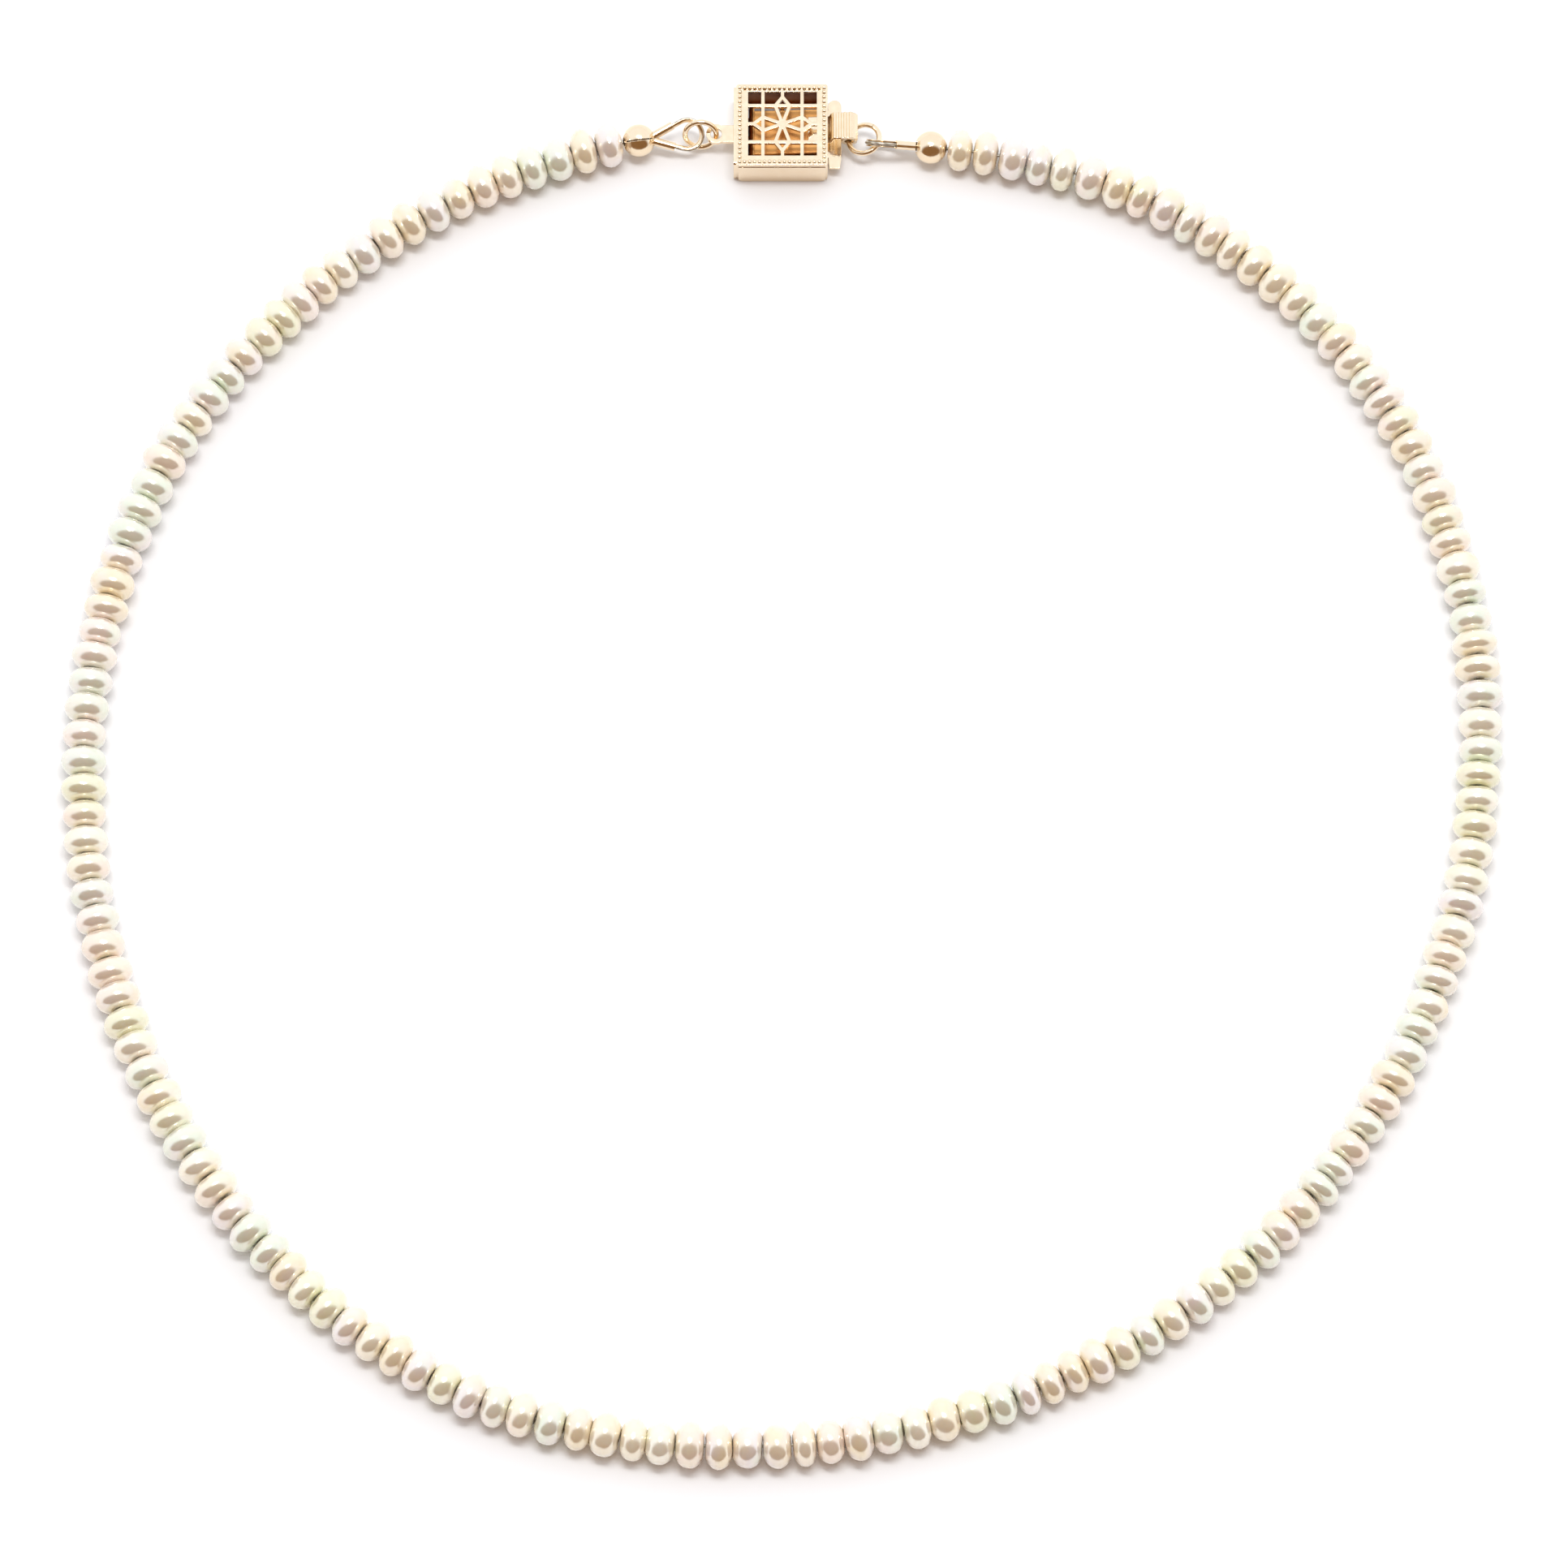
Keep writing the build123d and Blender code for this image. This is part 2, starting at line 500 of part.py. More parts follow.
with BuildPart() as box_walls:
    with BuildSketch(clasp_plane(PLATE_X, PANEL / 2, PLATE)):
        Rectangle(BOX_LENGTH - PLATE_INSET, BOX_WIDTH - PANEL)
        Rectangle(INNER_LENGTH, INNER_WIDTH, mode=Mode.SUBTRACT)
    extrude(amount=WALL_HEIGHT - PLATE)
    # The front panel, with its two lower corners rounded.
    panel_height = WALL_HEIGHT - SHADOW_GAP
    with BuildSketch(clasp_plane(PLATE_X, PANEL - BOX_WIDTH / 2, 0, z_dir=(0, -1, 0))) as panel:
        Rectangle(PLATE_LENGTH - WALL, panel_height, align=(Align.CENTER, Align.MIN))
        fillet(panel.vertices().group_by(Axis.Y)[0], radius=PANEL_CORNER)
    extrude(amount=PANEL)
    # The left end wall stands out past the plates.
    with BuildSketch(clasp_plane(PLATE_INSET - BOX_LENGTH / 2, PANEL / 2, 0, (0, -1, 0), (-1, 0, 0))):
        with Locations((0, WALL_HEIGHT / 2)):
            RectangleRounded(BOX_WIDTH - PANEL, WALL_HEIGHT, PANEL_CORNER / 2)
    extrude(amount=PLATE_INSET)
    # The tongue's slot, and above it the notch for the thumb tab.
    with BuildSketch(clasp_plane(BOX_LENGTH / 2 - 2 * WALL, 0, 0, (0, 1, 0), (1, 0, 0))):
        with Locations((0, slot_bottom)):
            Rectangle(slot_width, SLOT_TOP - slot_bottom, align=(Align.CENTER, Align.MIN))
        with Locations((0, SLOT_TOP)):
            Rectangle(notch_width, WALL_HEIGHT - SLOT_TOP, align=(Align.CENTER, Align.MIN))
    extrude(amount=3 * WALL, mode=Mode.SUBTRACT)
finish(box_walls, "box_walls")

# The tab and loop soldered to the left end.
with BuildPart() as end_tab:
    with BuildSketch(clasp_plane(-BOX_LENGTH / 2, END_TAB_SHIFT, LINK_Z - END_TAB_THICKNESS / 2)):
        Rectangle(END_LOOP_REACH - END_LOOP_HOLE, END_TAB_WIDTH, align=(Align.MAX, Align.CENTER))
        with Locations((-END_LOOP_REACH, 0)):
            Circle(END_LOOP_OUTER)
            Circle(END_LOOP_HOLE, mode=Mode.SUBTRACT)
    extrude(amount=END_TAB_THICKNESS)
finish(end_tab, "box_end_tab")

# -------------------------------------------------------------------------- tongue
slope = radians(LEAF_SLOPE)

with BuildPart() as tongue_base:
    # The lower leaf, from the fold out through the slot.
    with BuildSketch(clasp_plane(FOLD_X, 0, BASE_HEIGHT)):
        Rectangle(WING_X + WING_LENGTH / 2 - FOLD_X, BASE_WIDTH, align=(Align.MIN, Align.CENTER))
    extrude(amount=STRIP)
    # The wings that stop against the end wall: round at the back, tapered at the front.
    with BuildSketch(clasp_plane(WING_X, 0, BASE_HEIGHT)):
        back = WING_SPAN / 2 - WING_LENGTH / 2
        with BuildLine():
            Line((0, back), (0, -BASE_WIDTH / 2))
            Line((0, -BASE_WIDTH / 2), ((WING_LENGTH - WING_FRONT_END) / 2, -WING_SPAN / 2))
            Line(((WING_LENGTH - WING_FRONT_END) / 2, -WING_SPAN / 2),
                 ((WING_LENGTH + WING_FRONT_END) / 2, -WING_SPAN / 2))
            Line(((WING_LENGTH + WING_FRONT_END) / 2, -WING_SPAN / 2), (WING_LENGTH, -BASE_WIDTH / 2))
            Line((WING_LENGTH, -BASE_WIDTH / 2), (WING_LENGTH, back))
            ThreePointArc((WING_LENGTH, back), (WING_LENGTH / 2, WING_SPAN / 2), (0, back))
        make_face()
    extrude(amount=STRIP)
    # The folded inner end, a curl round the upper leaf's edge.
    with BuildSketch(clasp_plane(FOLD_X, BASE_WIDTH / 2, FOLD_Z, z_dir=(0, -1, 0))):
        Circle(FOLD_OUTER)
        Circle(FOLD_BORE, mode=Mode.SUBTRACT)
        with Locations((0, -FOLD_BORE)):
            Rectangle(FOLD_OUTER, 2 * FOLD_OUTER, align=(Align.MIN, Align.MIN), mode=Mode.SUBTRACT)
    extrude(amount=BASE_WIDTH)
finish(tongue_base, "tongue_base")


def leaf_plane(half_width):
    """The upright plane along the sprung leaf, from the fold, at this distance to the back."""
    return clasp_plane(FOLD_X, half_width, FOLD_Z, (cos(slope), 0, sin(slope)), (0, -1, 0))


with BuildPart() as tongue_leaf:
    with BuildSketch(leaf_plane(LEAF_WIDTH / 2)):
        Circle(STRIP / 2)
        Rectangle(EDGE_REACH, STRIP, align=(Align.MIN, Align.CENTER))
    extrude(amount=LEAF_WIDTH)
finish(tongue_leaf, "tongue_leaf")

# The thumb tab: soldered on the leaf, out through the notch, up, over and down.
strip_level = (STRIP + THUMB_SHEET) / 2
top_start = THUMB_REACH - THUMB_TOP_LENGTH
with BuildPart() as thumb_tab:
    with BuildSketch(leaf_plane(THUMB_WIDTH / 2)):
        with BuildLine():
            FilletPolyline((EDGE_REACH - THUMB_FOOT, strip_level),
                           (top_start - THUMB_SHEET, strip_level),
                           (top_start, THUMB_TOP),
                           (THUMB_REACH - THUMB_SHEET, THUMB_TOP),
                           (THUMB_REACH, THUMB_TOP - THUMB_DROP), radius=THUMB_SHEET)
        trace(line_width=THUMB_SHEET)
        first_rib = (top_start + THUMB_REACH - THUMB_SHEET - (RIB_COUNT - 1) * RIB_PITCH) / 2
        for rib in range(RIB_COUNT):
            with Locations((first_rib + rib * RIB_PITCH, THUMB_TOP + THUMB_SHEET / 2)):
                Circle(RIB_RADIUS)
    extrude(amount=THUMB_WIDTH)
finish(thumb_tab, "thumb_tab")

# The loop at the tongue's outer end, for the right jump ring.
knuckle_back = KNUCKLE_SHIFT + KNUCKLE_WIDTH / 2
with BuildPart() as end_loop:
    with BuildSketch(clasp_plane(KNUCKLE_X, knuckle_back, KNUCKLE_Z, z_dir=(0, -1, 0))):
        Rectangle(KNUCKLE_OUTER, STRIP, align=(Align.MAX, Align.CENTER))
        Circle(KNUCKLE_OUTER)
        Circle(KNUCKLE_HOLE, mode=Mode.SUBTRACT)
    extrude(amount=KNUCKLE_WIDTH)
finish(end_loop, "tongue_end_loop")
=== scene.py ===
# %% [markdown]
# # A pearl necklace with a filigree box clasp
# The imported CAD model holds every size, joint and place. This lesson dresses it: real nacre on
# the pearls, polished gold on the findings, a floor, a soft light and a camera.

# %% Load the frame
import bpy
import json
import math
import random
from mathutils import Matrix, Vector


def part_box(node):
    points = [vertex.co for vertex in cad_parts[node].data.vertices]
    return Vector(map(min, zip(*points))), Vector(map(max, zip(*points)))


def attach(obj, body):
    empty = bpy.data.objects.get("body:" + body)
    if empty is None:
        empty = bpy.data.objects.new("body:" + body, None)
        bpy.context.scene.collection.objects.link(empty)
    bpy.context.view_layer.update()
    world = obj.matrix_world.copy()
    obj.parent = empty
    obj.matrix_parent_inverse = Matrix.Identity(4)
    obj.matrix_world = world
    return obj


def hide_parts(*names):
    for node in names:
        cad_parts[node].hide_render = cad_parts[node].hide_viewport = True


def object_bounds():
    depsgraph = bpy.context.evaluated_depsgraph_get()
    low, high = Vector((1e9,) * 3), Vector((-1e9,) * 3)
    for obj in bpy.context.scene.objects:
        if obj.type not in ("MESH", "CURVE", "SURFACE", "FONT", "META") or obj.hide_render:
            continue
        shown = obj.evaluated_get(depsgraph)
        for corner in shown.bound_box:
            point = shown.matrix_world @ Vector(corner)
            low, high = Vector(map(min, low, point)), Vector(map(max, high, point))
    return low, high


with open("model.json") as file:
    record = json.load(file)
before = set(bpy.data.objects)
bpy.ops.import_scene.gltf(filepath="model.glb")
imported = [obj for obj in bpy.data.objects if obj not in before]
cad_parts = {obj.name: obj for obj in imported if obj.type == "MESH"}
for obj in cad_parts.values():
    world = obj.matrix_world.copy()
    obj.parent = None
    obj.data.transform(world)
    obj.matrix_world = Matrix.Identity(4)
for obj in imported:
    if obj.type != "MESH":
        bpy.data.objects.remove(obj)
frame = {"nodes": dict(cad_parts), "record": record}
cad_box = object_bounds()
MM = 0.001

# %% [markdown]
# ## Helpers
# Colours are easiest to read as sRGB hex values, but shader sockets want linear numbers, so one
# function turns them. Another adds a node, sets it and links it, which keeps materials short.

# %% Colour and node helpers
def linear(hex_colour, alpha=1.0):
    """An sRGB hex colour as the linear RGBA that a shader socket takes."""
    parts = [int(hex_colour[i:i + 2], 16) / 255 for i in (1, 3, 5)]
    bent = [p / 12.92 if p <= 0.04045 else ((p + 0.055) / 1.055) ** 2.4 for p in parts]
    return (*bent, alpha)


def add_node(tree, kind, links=(), settings=(), **inputs):
    """Add a node, set its properties and input values, and link (socket, from_socket) pairs."""
    node = tree.nodes.new(kind)
    for name, value in dict(settings).items():
        setattr(node, name, value)
    for name, value in inputs.items():
        node.inputs[name.replace("_", " ")].default_value = value
    for socket, source in links:
        tree.links.new(node.inputs[socket], source)
    return node


def new_material(name):
    """An empty node material and its Principled surface."""
    material = bpy.data.materials.new(name)
    material.use_nodes = True
    tree = material.node_tree
    return material, tree, tree.nodes["Principled BSDF"]


def deselect():
    """Operators act on what is selected, so each step starts from nothing."""
    if bpy.context.object and bpy.context.object.mode != "OBJECT":
        bpy.ops.object.mode_set(mode="OBJECT")
    bpy.ops.object.select_all(action="DESELECT")


def pick(obj):
    """Make one object the selected and active one."""
    deselect()
    obj.select_set(True)
    bpy.context.view_layer.objects.active = obj
    return obj


# %% [markdown]
# ## Camera
# Small jewellery is shot with a long lens from well above, so the loop keeps its round shape.
# A 198 mm lens at 0.8 m looking down at 72 degrees does that.

# %% Place the camera
CAMERA_ELEVATION = math.radians(72)
CAMERA_DISTANCE = 0.8
LENS_MM = 198.2
AIM_ASIDE = 0.1 * MM
AIM_FORWARD = 1.3 * MM
low, high = cad_box
middle = (low + high) / 2
aim = Vector((middle.x + AIM_ASIDE, middle.y - AIM_FORWARD, 0))
towards_camera = Vector((0, -math.cos(CAMERA_ELEVATION), math.sin(CAMERA_ELEVATION)))
bpy.ops.object.camera_add(location=aim + towards_camera * CAMERA_DISTANCE)
camera = bpy.context.object
camera.name = "necklace_camera"
camera.data.lens = LENS_MM
camera.data.sensor_width = 36
camera.data.clip_start = 0.01
camera.rotation_mode = "QUATERNION"
camera.rotation_quaternion = (-towards_camera).to_track_quat("-Z", "Y")
bpy.context.scene.camera = camera
bpy.context.scene.view_settings.view_transform = "Standard"
print("camera", [round(v, 3) for v in camera.location])

# %% [markdown]
# ## Floor and light
# A white sweep gives the pearls something pale to mirror from below. A softbox overhead, a little
# behind the loop, makes the white highlight on every pearl and keeps the shadows short.
# The surrounding light is bright too, apart from a dim patch in front, where the camera and the
# person behind it stand: that is what a pearl mirrors as its darker, coloured eye. Three small
# lamps over the table put the tiny sparks at the top of the eye.

# %% Lay the floor
FLOOR_SIZE = 3.0
FLOOR_GAP = 0.01 * MM
bpy.ops.mesh.primitive_plane_add(size=FLOOR_SIZE, location=(0, 0, low.z - FLOOR_GAP))
floor = bpy.context.object
floor.name = "floor"
bpy.ops.object.transform_apply(location=True, rotation=False, scale=False)
paper, paper_tree, paper_surface = new_material("matt_white_card")
paper_surface.inputs["Base Color"].default_value = linear("#FAFBFD")
paper_surface.inputs["Roughness"].default_value = 0.6
paper_surface.inputs["Specular IOR Level"].default_value = 0.3
floor.data.materials.append(paper)

# %% Hang the softbox
SOFTBOX_WIDTH = 0.6
SOFTBOX_DEPTH = 0.2
SOFTBOX_HEIGHT = 1.2
SOFTBOX_BEHIND = 0.14
SOFTBOX_ASIDE = 0.03
SOFTBOX_WATTS = 6.0
bpy.ops.object.light_add(type="AREA", location=(SOFTBOX_ASIDE, SOFTBOX_BEHIND, SOFTBOX_HEIGHT))
softbox = bpy.context.object
softbox.name = "softbox"
softbox.data.shape = "RECTANGLE"
softbox.data.size = SOFTBOX_WIDTH
softbox.data.size_y = SOFTBOX_DEPTH
softbox.data.energy = SOFTBOX_WATTS
softbox.data.color = linear("#FFFFFF")[:3]
softbox.rotation_mode = "QUATERNION"
softbox.rotation_quaternion = (-softbox.location).to_track_quat("-Z", "Y")
softbox.visible_camera = False
print("softbox", [round(v, 2) for v in softbox.location])

# %% Add three small lamps
LAMP_RADIUS = 0.012
LAMP_SPREAD = 0.11
LAMP_HEIGHT = 0.95
LAMP_FORWARD = 0.13
LAMP_WATTS = 0.09
for side in (-1, 0, 1):
    bpy.ops.object.light_add(type="AREA",
                             location=(side * LAMP_SPREAD, -LAMP_FORWARD, LAMP_HEIGHT))
    lamp = bpy.context.object
    lamp.name = "small_lamp"
    lamp.data.shape = "DISK"
    lamp.data.size = 2 * LAMP_RADIUS
    lamp.data.energy = LAMP_WATTS
    lamp.rotation_mode = "QUATERNION"
    lamp.rotation_quaternion = (-lamp.location).to_track_quat("-Z", "Y")
    lamp.visible_camera = False
print("small lamps", 3)

# %% Light the surroundings, dim in front
world = bpy.data.worlds.new("light_tent")
bpy.context.scene.world = world
world.use_nodes = True
sky = world.node_tree
sky.nodes.clear()
DIM_ELEVATION = math.radians(27)
DIM_EDGE = math.radians(66)
DIM_HEART = math.radians(42)
DIM_WIDENING = 0.66
dim_direction = (0.0, -math.cos(DIM_ELEVATION), math.sin(DIM_ELEVATION))
where = add_node(sky, "ShaderNodeTexCoord")
widened = add_node(sky, "ShaderNodeVectorMath", [(0, where.outputs["Generated"])],
                   {"operation": "MULTIPLY"})
widened.inputs[1].default_value = (DIM_WIDENING, 1.0, 1.0)
unit = add_node(sky, "ShaderNodeVectorMath", [(0, widened.outputs["Vector"])],
                {"operation": "NORMALIZE"})
facing = add_node(sky, "ShaderNodeVectorMath", [(0, unit.outputs["Vector"])],
                  {"operation": "DOT_PRODUCT"})
facing.inputs[1].default_value = dim_direction
patch = add_node(sky, "ShaderNodeMapRange", [("Value", facing.outputs["Value"])],
                 {"interpolation_type": "SMOOTHSTEP"},
                 From_Min=math.cos(DIM_EDGE), From_Max=math.cos(DIM_HEART))
tent = add_node(sky, "ShaderNodeMix", [("Factor", patch.outputs["Result"])], {"data_type": "RGBA"})
tent.inputs["A"].default_value = linear("#F4F7FC")
tent.inputs["B"].default_value = linear("#806040")
light = add_node(sky, "ShaderNodeBackground", [("Color", tent.outputs["Result"])], Strength=1.18)
add_node(sky, "ShaderNodeOutputWorld", [("Surface", light.outputs["Background"])])
print("world", world.name)

# %% [markdown]
# ## Nacre
# A pearl's skin is hundreds of clear layers of aragonite. Light goes in a little way and comes
# back soft, and the layers mirror white light with faint rose and green, called the orient. A
# cream body with some subsurface light, a part-metallic mirror tinted by the orient, and a clear
# coat gives all three. Each pearl holds a random number on its corners, so no two are alike.

# %% Make the nacre
nacre, tree, skin = new_material("freshwater_nacre_polished")
pearl_number = add_node(tree, "ShaderNodeAttribute", (), {"attribute_name": "pearl_number"})
coordinates = add_node(tree, "ShaderNodeTexCoord")
growth = add_node(tree, "ShaderNodeTexNoise", [("Vector", coordinates.outputs["Object"])],
                  Scale=1 / (3.0 * MM), Detail=1.5)
drift = add_node(tree, "ShaderNodeMapRange", [("Value", growth.outputs["Fac"])],
                 From_Min=0.3, From_Max=0.7, To_Min=-0.09, To_Max=0.09)
hue_place = add_node(tree, "ShaderNodeMath", [(0, pearl_number.outputs["Fac"]),
                                              (1, drift.outputs["Result"])],
                     {"operation": "ADD"})
orient_hues = add_node(tree, "ShaderNodeValToRGB", [("Fac", hue_place.outputs["Value"])])
hues = ["#FBF1DC", "#FAE9DA", "#F2F0D2", "#FCF5E6", "#F9EACD", "#F5ECE8", "#EDF2DF", "#FAEDE2"]
ramp = orient_hues.color_ramp
while len(ramp.elements) < len(hues):
    ramp.elements.new(0.5)
for place, (stop, hue) in enumerate(zip(ramp.elements, hues)):
    stop.position = place / (len(hues) - 1)
    stop.color = linear(hue)
print("orient hues", len(hues))

# %% Shade the nacre
skin_dents = add_node(tree, "ShaderNodeTexNoise", [("Vector", coordinates.outputs["Object"])],
                      Scale=1 / (1.1 * MM), Detail=3.0)
skin_bump = add_node(tree, "ShaderNodeBump", [("Height", skin_dents.outputs["Fac"])],
                     Strength=0.1, Distance=0.04 * MM)
tree.links.new(skin.inputs["Base Color"], orient_hues.outputs["Color"])
tree.links.new(skin.inputs["Normal"], skin_bump.outputs["Normal"])
skin.inputs["Metallic"].default_value = 0.5
skin.inputs["Roughness"].default_value = 0.16
skin.inputs["IOR"].default_value = 1.6
skin.inputs["Subsurface Weight"].default_value = 0.35
skin.inputs["Subsurface Radius"].default_value = (1.0, 0.85, 0.65)
skin.inputs["Subsurface Scale"].default_value = 0.6 * MM
skin.inputs["Coat Weight"].default_value = 0.8
skin.inputs["Coat Roughness"].default_value = 0.09
skin.inputs["Coat IOR"].default_value = 1.55
print("material", nacre.name)

# %% [markdown]
# ## Gold and steel
# The findings are 14 karat yellow gold, stamped and drawn, then polished on a mop: a bright
# mirror with very fine polishing lines and a little waviness. A metal keeps the default IOR.

# %% Find the inside of the clasp's box
WALL = 0.35 * MM
walls_low, walls_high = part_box("box_walls")
box_middle = (walls_low + walls_high) / 2
inside_half = (walls_high - walls_low) / 2 - Vector((WALL, WALL, 0.1 * MM))


def inside_box(tree, coordinates):
    """One inside the clasp's box and zero outside it, from the place on the mesh; it masks the
    painted shade and the extra roughness inside.
    """
    offset = add_node(tree, "ShaderNodeVectorMath", [(0, coordinates.outputs["Object"])],
                      {"operation": "SUBTRACT"})
    offset.inputs[1].default_value = box_middle
    distance = add_node(tree, "ShaderNodeVectorMath", [(0, offset.outputs["Vector"])],
                        {"operation": "ABSOLUTE"})
    axes = add_node(tree, "ShaderNodeSeparateXYZ", [("Vector", distance.outputs["Vector"])])
    within = None
    for axis, reach in zip("XYZ", inside_half):
        near = add_node(tree, "ShaderNodeMath", [(0, axes.outputs[axis])],
                        {"operation": "LESS_THAN"})
        near.inputs[1].default_value = reach
        if within:
            near = add_node(tree, "ShaderNodeMath", [(0, within.outputs["Value"]),
                                                     (1, near.outputs["Value"])],
                            {"operation": "MULTIPLY"})
        within = near
    return within


print("box inside", [round(half / MM, 2) for half in inside_half])

# %% Make the gold
def make_gold(name, painted_shade_hex=None):
    """Polished gold; where an inside colour is given, rougher inside the box and darkened there by
    painted shade.
    """
    material, tree, metal = new_material(name)
    coordinates = add_node(tree, "ShaderNodeTexCoord")
    ripple = add_node(tree, "ShaderNodeTexNoise", [("Vector", coordinates.outputs["Object"])],
                      Scale=1 / (0.8 * MM), Detail=3.0, Roughness=0.55)
    warmth = add_node(tree, "ShaderNodeMix", [("Factor", ripple.outputs["Fac"])],
                      {"data_type": "RGBA"})
    warmth.inputs["A"].default_value = linear("#F5DFBC")
    warmth.inputs["B"].default_value = linear("#FBEAD0")
    polish = add_node(tree, "ShaderNodeMapRange", [("Value", ripple.outputs["Fac"])],
                      From_Min=0.3, From_Max=0.7, To_Min=0.08, To_Max=0.2)
    worn_edge = add_node(tree, "ShaderNodeBevel", (), {"samples": 6}, Radius=0.07 * MM)
    ripple_bump = add_node(tree, "ShaderNodeBump", [("Height", ripple.outputs["Fac"]),
                                                    ("Normal", worn_edge.outputs["Normal"])],
                           Strength=0.12, Distance=0.04 * MM)
    colour, rough = warmth.outputs["Result"], polish.outputs["Result"]
    if painted_shade_hex:
        # Painted shade: inside the box the colour is mixed towards a darker gold, standing in for
        # the shade and dark reflections in its recess; the roughness is raised there too.
        inside = inside_box(tree, coordinates)
        painted_shade_mix = add_node(tree, "ShaderNodeMix", [("Factor", inside.outputs["Value"]),
                                                 ("A", colour)], {"data_type": "RGBA"})
        painted_shade_mix.inputs["B"].default_value = linear(painted_shade_hex)
        dull = add_node(tree, "ShaderNodeMath", [(0, inside.outputs["Value"]), (2, rough)],
                        {"operation": "MULTIPLY_ADD"})
        dull.inputs[1].default_value = 0.2
        colour, rough = painted_shade_mix.outputs["Result"], dull.outputs["Value"]
    tree.links.new(metal.inputs["Base Color"], colour)
    tree.links.new(metal.inputs["Roughness"], rough)
    tree.links.new(metal.inputs["Normal"], ripple_bump.outputs["Normal"])
    metal.inputs["Metallic"].default_value = 1.0
    return material


gold = make_gold("yellow_gold_14k_mop_polished")
# The inside colours are painted shade for the clasp's recess: dark brown inside the box, a paler
# orange on the tongue's leaf.
box_gold = make_gold("yellow_gold_14k_dull_and_painted_shade_inside", "#A4632F")
leaf_gold = make_gold("yellow_gold_14k_spring_rolled_painted_shade_inside", "#D19A5C")
print("materials", gold.name, box_gold.name, leaf_gold.name)

# %% Make the beading wire
wire_steel, tree, coated = new_material("nylon_coated_steel_cable")
coordinates = add_node(tree, "ShaderNodeTexCoord")
strands = add_node(tree, "ShaderNodeTexWave", [("Vector", coordinates.outputs["Object"])],
                   {"wave_type": "BANDS", "bands_direction": "DIAGONAL"},
                   Scale=1 / (1.2 * MM), Distortion=0.5)
strand_colour = add_node(tree, "ShaderNodeMix", [("Factor", strands.outputs["Fac"])],
                         {"data_type": "RGBA"})
strand_colour.inputs["A"].default_value = linear("#A79F90")
strand_colour.inputs["B"].default_value = linear("#D6CFC0")
tree.links.new(coated.inputs["Base Color"], strand_colour.outputs["Result"])
coated.inputs["Metallic"].default_value = 0.8
coated.inputs["Roughness"].default_value = 0.3
coated.inputs["Coat Weight"].default_value = 0.5
print("material", wire_steel.name)

# %% [markdown]
# ## One pearl, shaped once
# A button pearl is a ball that grew flatter on two sides, and it is drilled through the flats.
# A low ball with its poles opened and joined by a tube makes the drill hole. Smoothing comes last,
# so small uneven moves of the few corners turn into soft, natural swellings.

# %% Open the poles of a low ball
PEARL_SEGMENTS = 16
PEARL_RINGS = 8
deselect()
bpy.ops.mesh.primitive_uv_sphere_add(segments=PEARL_SEGMENTS, ring_count=PEARL_RINGS, radius=1)
master_pearl = bpy.context.object
master_pearl.name = "master_pearl"
bpy.ops.object.mode_set(mode="EDIT")
bpy.ops.mesh.select_mode(type="VERT")
bpy.ops.mesh.select_all(action="DESELECT")
bpy.ops.object.mode_set(mode="OBJECT")
for vertex in master_pearl.data.vertices:
    vertex.select = abs(vertex.co.z) > 0.99
bpy.ops.object.mode_set(mode="EDIT")
bpy.ops.mesh.delete(type="VERT")
bpy.ops.mesh.select_all(action="SELECT")
bpy.ops.transform.vertex_random(offset=0.03, normal=1.0, seed=11)
print("open ball", len(master_pearl.data.vertices), "corners")

# %% Fill the shoulders and drill through
SHOULDER_FILL = 1.3
MIDDLE_FILL = 1.1
DRILL_SHARE = 0.4
bpy.ops.mesh.select_all(action="DESELECT")
bpy.ops.object.mode_set(mode="OBJECT")
for vertex in master_pearl.data.vertices:
    vertex.select = 0.6 < abs(vertex.co.z) < 0.8
bpy.ops.object.mode_set(mode="EDIT")
bpy.ops.transform.resize(value=(MIDDLE_FILL, MIDDLE_FILL, 1.0))
bpy.ops.mesh.select_all(action="DESELECT")
bpy.ops.mesh.select_non_manifold()
bpy.ops.transform.resize(value=(SHOULDER_FILL, SHOULDER_FILL, 1.0))
bpy.ops.mesh.extrude_edges_move()
bpy.ops.transform.resize(value=(DRILL_SHARE, DRILL_SHARE, 1.0))
bpy.ops.mesh.extrude_edges_move()
bpy.ops.transform.resize(value=(1.0, 1.0, 0.7))
bpy.ops.mesh.bridge_edge_loops()
bpy.ops.mesh.select_all(action="SELECT")
bpy.ops.mesh.normals_make_consistent(inside=False)
bpy.ops.object.mode_set(mode="OBJECT")
smoothing = master_pearl.modifiers.new("smoothing", "SUBSURF")
smoothing.levels = 1
smoothing.render_levels = 1
bpy.ops.object.modifier_apply(modifier="smoothing")
bpy.ops.object.shade_smooth()
widest = max(math.hypot(vertex.co.x, vertex.co.y) for vertex in master_pearl.data.vertices)
longest = max(abs(vertex.co.z) for vertex in master_pearl.data.vertices)
master_pearl.scale = (1 / widest, 1 / widest, 1 / longest)
bpy.ops.object.transform_apply(location=True, rotation=True, scale=True)
print("master pearl", len(master_pearl.data.polygons), "faces")

# %% [markdown]
# ## Every pearl in its place
# Each CAD node holds seven pearls. Merging a copy and separating its loose parts gives one at a
# time, and its corners tell where it sits: it stands on the floor, so its height is its diameter,
# and seen from above it is longest across the string, which gives the string's direction.

# %% Measure the CAD pearls
SHOULDER_TOUCH = 0.04 * MM


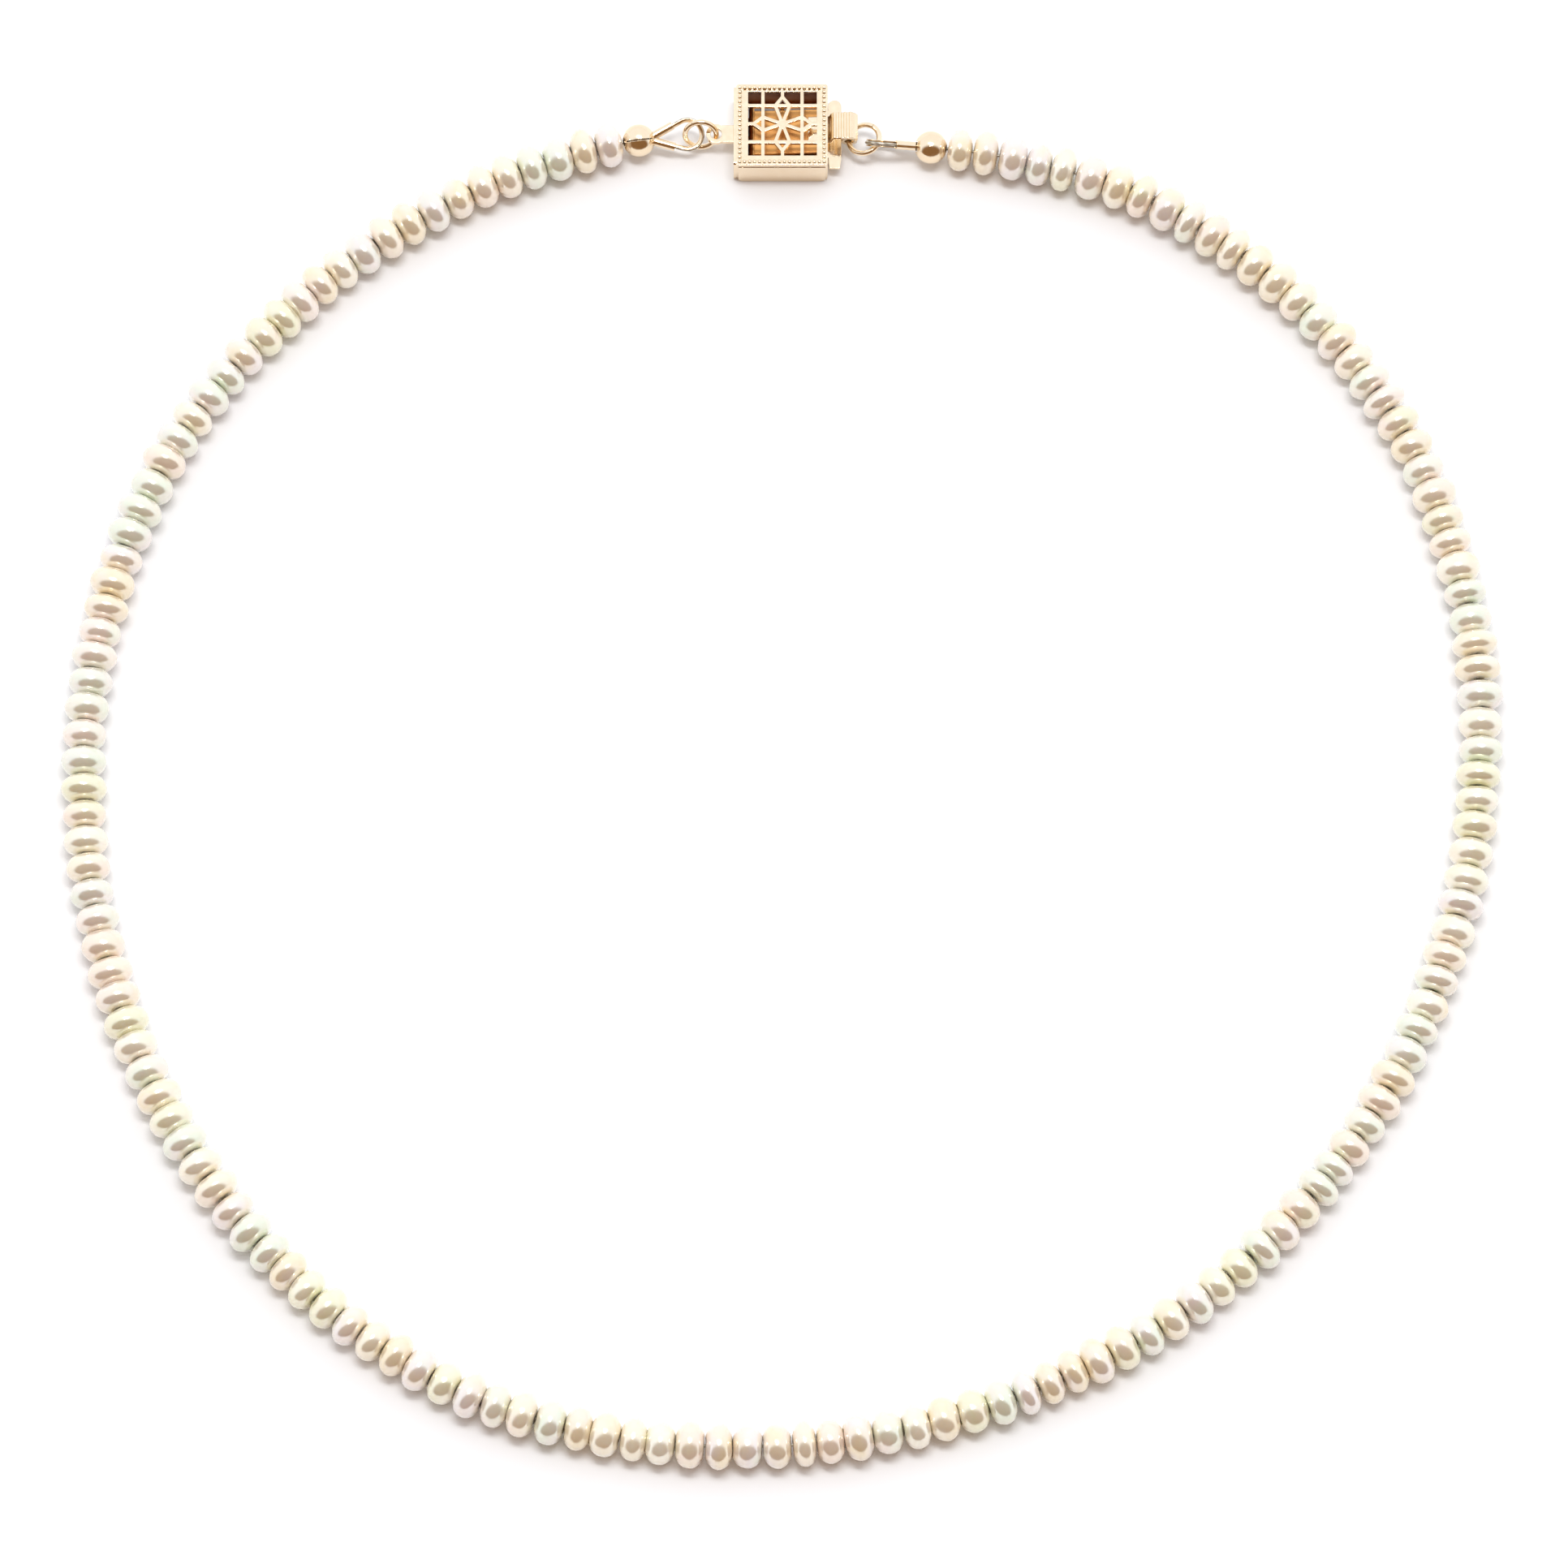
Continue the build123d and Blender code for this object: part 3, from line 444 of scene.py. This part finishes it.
def separate_solids(node_name):
    """A merged copy of a CAD node, as one object for each loose part."""
    copied = frame["nodes"][node_name].copy()
    copied.data = copied.data.copy()
    for key in list(copied.keys()):
        del copied[key]
    copied.parent = None
    bpy.context.scene.collection.objects.link(copied)
    pick(copied)
    bpy.ops.object.mode_set(mode="EDIT")
    bpy.ops.mesh.select_all(action="SELECT")
    bpy.ops.mesh.remove_doubles(threshold=0.001 * MM)
    bpy.ops.mesh.separate(type="LOOSE")
    bpy.ops.object.mode_set(mode="OBJECT")
    return list(bpy.context.selected_objects)


def pearl_place(solid):
    """The matrix that puts the master pearl, one unit in radius, where a measured pearl is."""
    corners = [vertex.co for vertex in solid.data.vertices]
    heights = [corner.z for corner in corners]
    centre = sum(corners, Vector()) / len(corners)
    centre.z = (max(heights) + min(heights)) / 2
    spread_x = sum((corner.x - centre.x) ** 2 for corner in corners)
    spread_y = sum((corner.y - centre.y) ** 2 for corner in corners)
    shared = sum((corner.x - centre.x) * (corner.y - centre.y) for corner in corners)
    across_angle = math.atan2(2 * shared, spread_x - spread_y) / 2
    across = Vector((math.cos(across_angle), math.sin(across_angle), 0))
    string = Vector((-across.y, across.x, 0))
    half_length = max((corner - centre).dot(string) for corner in corners) + SHOULDER_TOUCH
    radius = (max(heights) - min(heights)) / 2
    up = Vector((0, 0, 1))
    axes = Matrix((across * radius, up * radius, string * half_length)).transposed()
    return Matrix.Translation(centre) @ axes.to_4x4()


# %% String the pearls
PEARL_SEED = 26
chance = random.Random(PEARL_SEED)


def string_pearls(node_name):
    """Seven copies of the master pearl, each turned its own way, joined as one piece."""
    solids = separate_solids(node_name)
    copies = []
    for solid in solids:
        mesh = master_pearl.data.copy()
        turned = Matrix.Rotation(chance.uniform(0, math.tau), 4, "Z")
        flipped = Matrix.Rotation(math.pi * chance.randint(0, 1), 4, "X")
        mesh.transform(pearl_place(solid) @ turned @ flipped)
        number = mesh.attributes.new("pearl_number", "FLOAT", "POINT")
        number.data.foreach_set("value", [chance.random()] * len(mesh.vertices))
        copies.append(bpy.data.objects.new(node_name + "_nacre", mesh))
        bpy.context.scene.collection.objects.link(copies[-1])
    for solid in solids:
        bpy.data.objects.remove(solid)
    pick(copies[0])
    for pearl in copies:
        pearl.select_set(True)
    bpy.ops.object.join()
    return bpy.context.object


pearl_nodes = sorted(name for name in frame["nodes"] if name.startswith("pearls_"))
body_of = {node: body for body, nodes in frame["record"]["behaviour"]["bodies"].items()
           for node in nodes}
for name in pearl_nodes:
    strung = string_pearls(name)
    strung.data.materials.clear()
    strung.data.materials.append(nacre)
    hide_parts(name)
    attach(strung, body_of[name])
bpy.data.objects.remove(master_pearl)
print("strung", len(pearl_nodes), "runs of pearls")

# %% Dress the wires and the gold
BOX_NODES = ("box_walls", "filigree_top", "filigree_bottom")
for name, node in frame["nodes"].items():
    if name.startswith("pearls_"):
        continue
    finish = box_gold if name in BOX_NODES else gold
    if name in ("tongue_leaf", "tongue_base"):
        finish = leaf_gold
    if name.startswith("wire_") and "guard" not in name:
        finish = wire_steel
    for material_slot in node.material_slots:
        material_slot.material = finish
print("dressed", len(frame["nodes"]) - len(pearl_nodes), "nodes")

# %% [markdown]
# ## Milgrain
# The clasp's top has a border of tiny raised beads, rolled into the gold with a milgrain wheel.
# One low bead is shaped and copied at an even pitch round the rim, and the row becomes one piece
# that rides with the box.

# %% Shape one bead
BEAD_PITCH = 0.48 * MM
BEAD_RADIUS = 0.21 * MM
BEAD_INSET = 0.33 * MM
BEAD_SINK = 0.03 * MM
deselect()
bpy.ops.mesh.primitive_uv_sphere_add(segments=10, ring_count=6, radius=BEAD_RADIUS)
bead = bpy.context.object
bpy.ops.object.mode_set(mode="EDIT")
bpy.ops.mesh.select_all(action="SELECT")
bpy.ops.transform.resize(value=(1.0, 1.0, 0.8))
bpy.ops.object.mode_set(mode="OBJECT")
bpy.ops.object.shade_smooth()
print("bead", len(bead.data.polygons), "faces")

# %% Roll the beads round the rim
plate_low, plate_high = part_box("filigree_top")
rim_low = plate_low + Vector((BEAD_INSET, BEAD_INSET, 0))
rim_high = plate_high - Vector((BEAD_INSET, BEAD_INSET, BEAD_SINK))
corners = [Vector((rim_low.x, rim_low.y, rim_high.z)), Vector((rim_high.x, rim_low.y, rim_high.z)),
           Vector((rim_high.x, rim_high.y, rim_high.z)), Vector((rim_low.x, rim_high.y, rim_high.z))]
beads = []
for start, end in zip(corners, corners[1:] + corners[:1]):
    steps = round((end - start).length / BEAD_PITCH)
    for step in range(steps):
        mesh = bead.data.copy()
        mesh.transform(Matrix.Translation(start.lerp(end, step / steps)))
        beads.append(bpy.data.objects.new("milgrain_bead", mesh))
        bpy.context.scene.collection.objects.link(beads[-1])
pick(beads[0])
for milgrain in beads:
    milgrain.select_set(True)
bpy.ops.object.join()
milgrain = bpy.context.object
milgrain.name = "milgrain_border"
milgrain.data.materials.clear()
milgrain.data.materials.append(gold)
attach(milgrain, "clasp_box")
bpy.data.objects.remove(bead)
print("milgrain", len(beads), "beads")
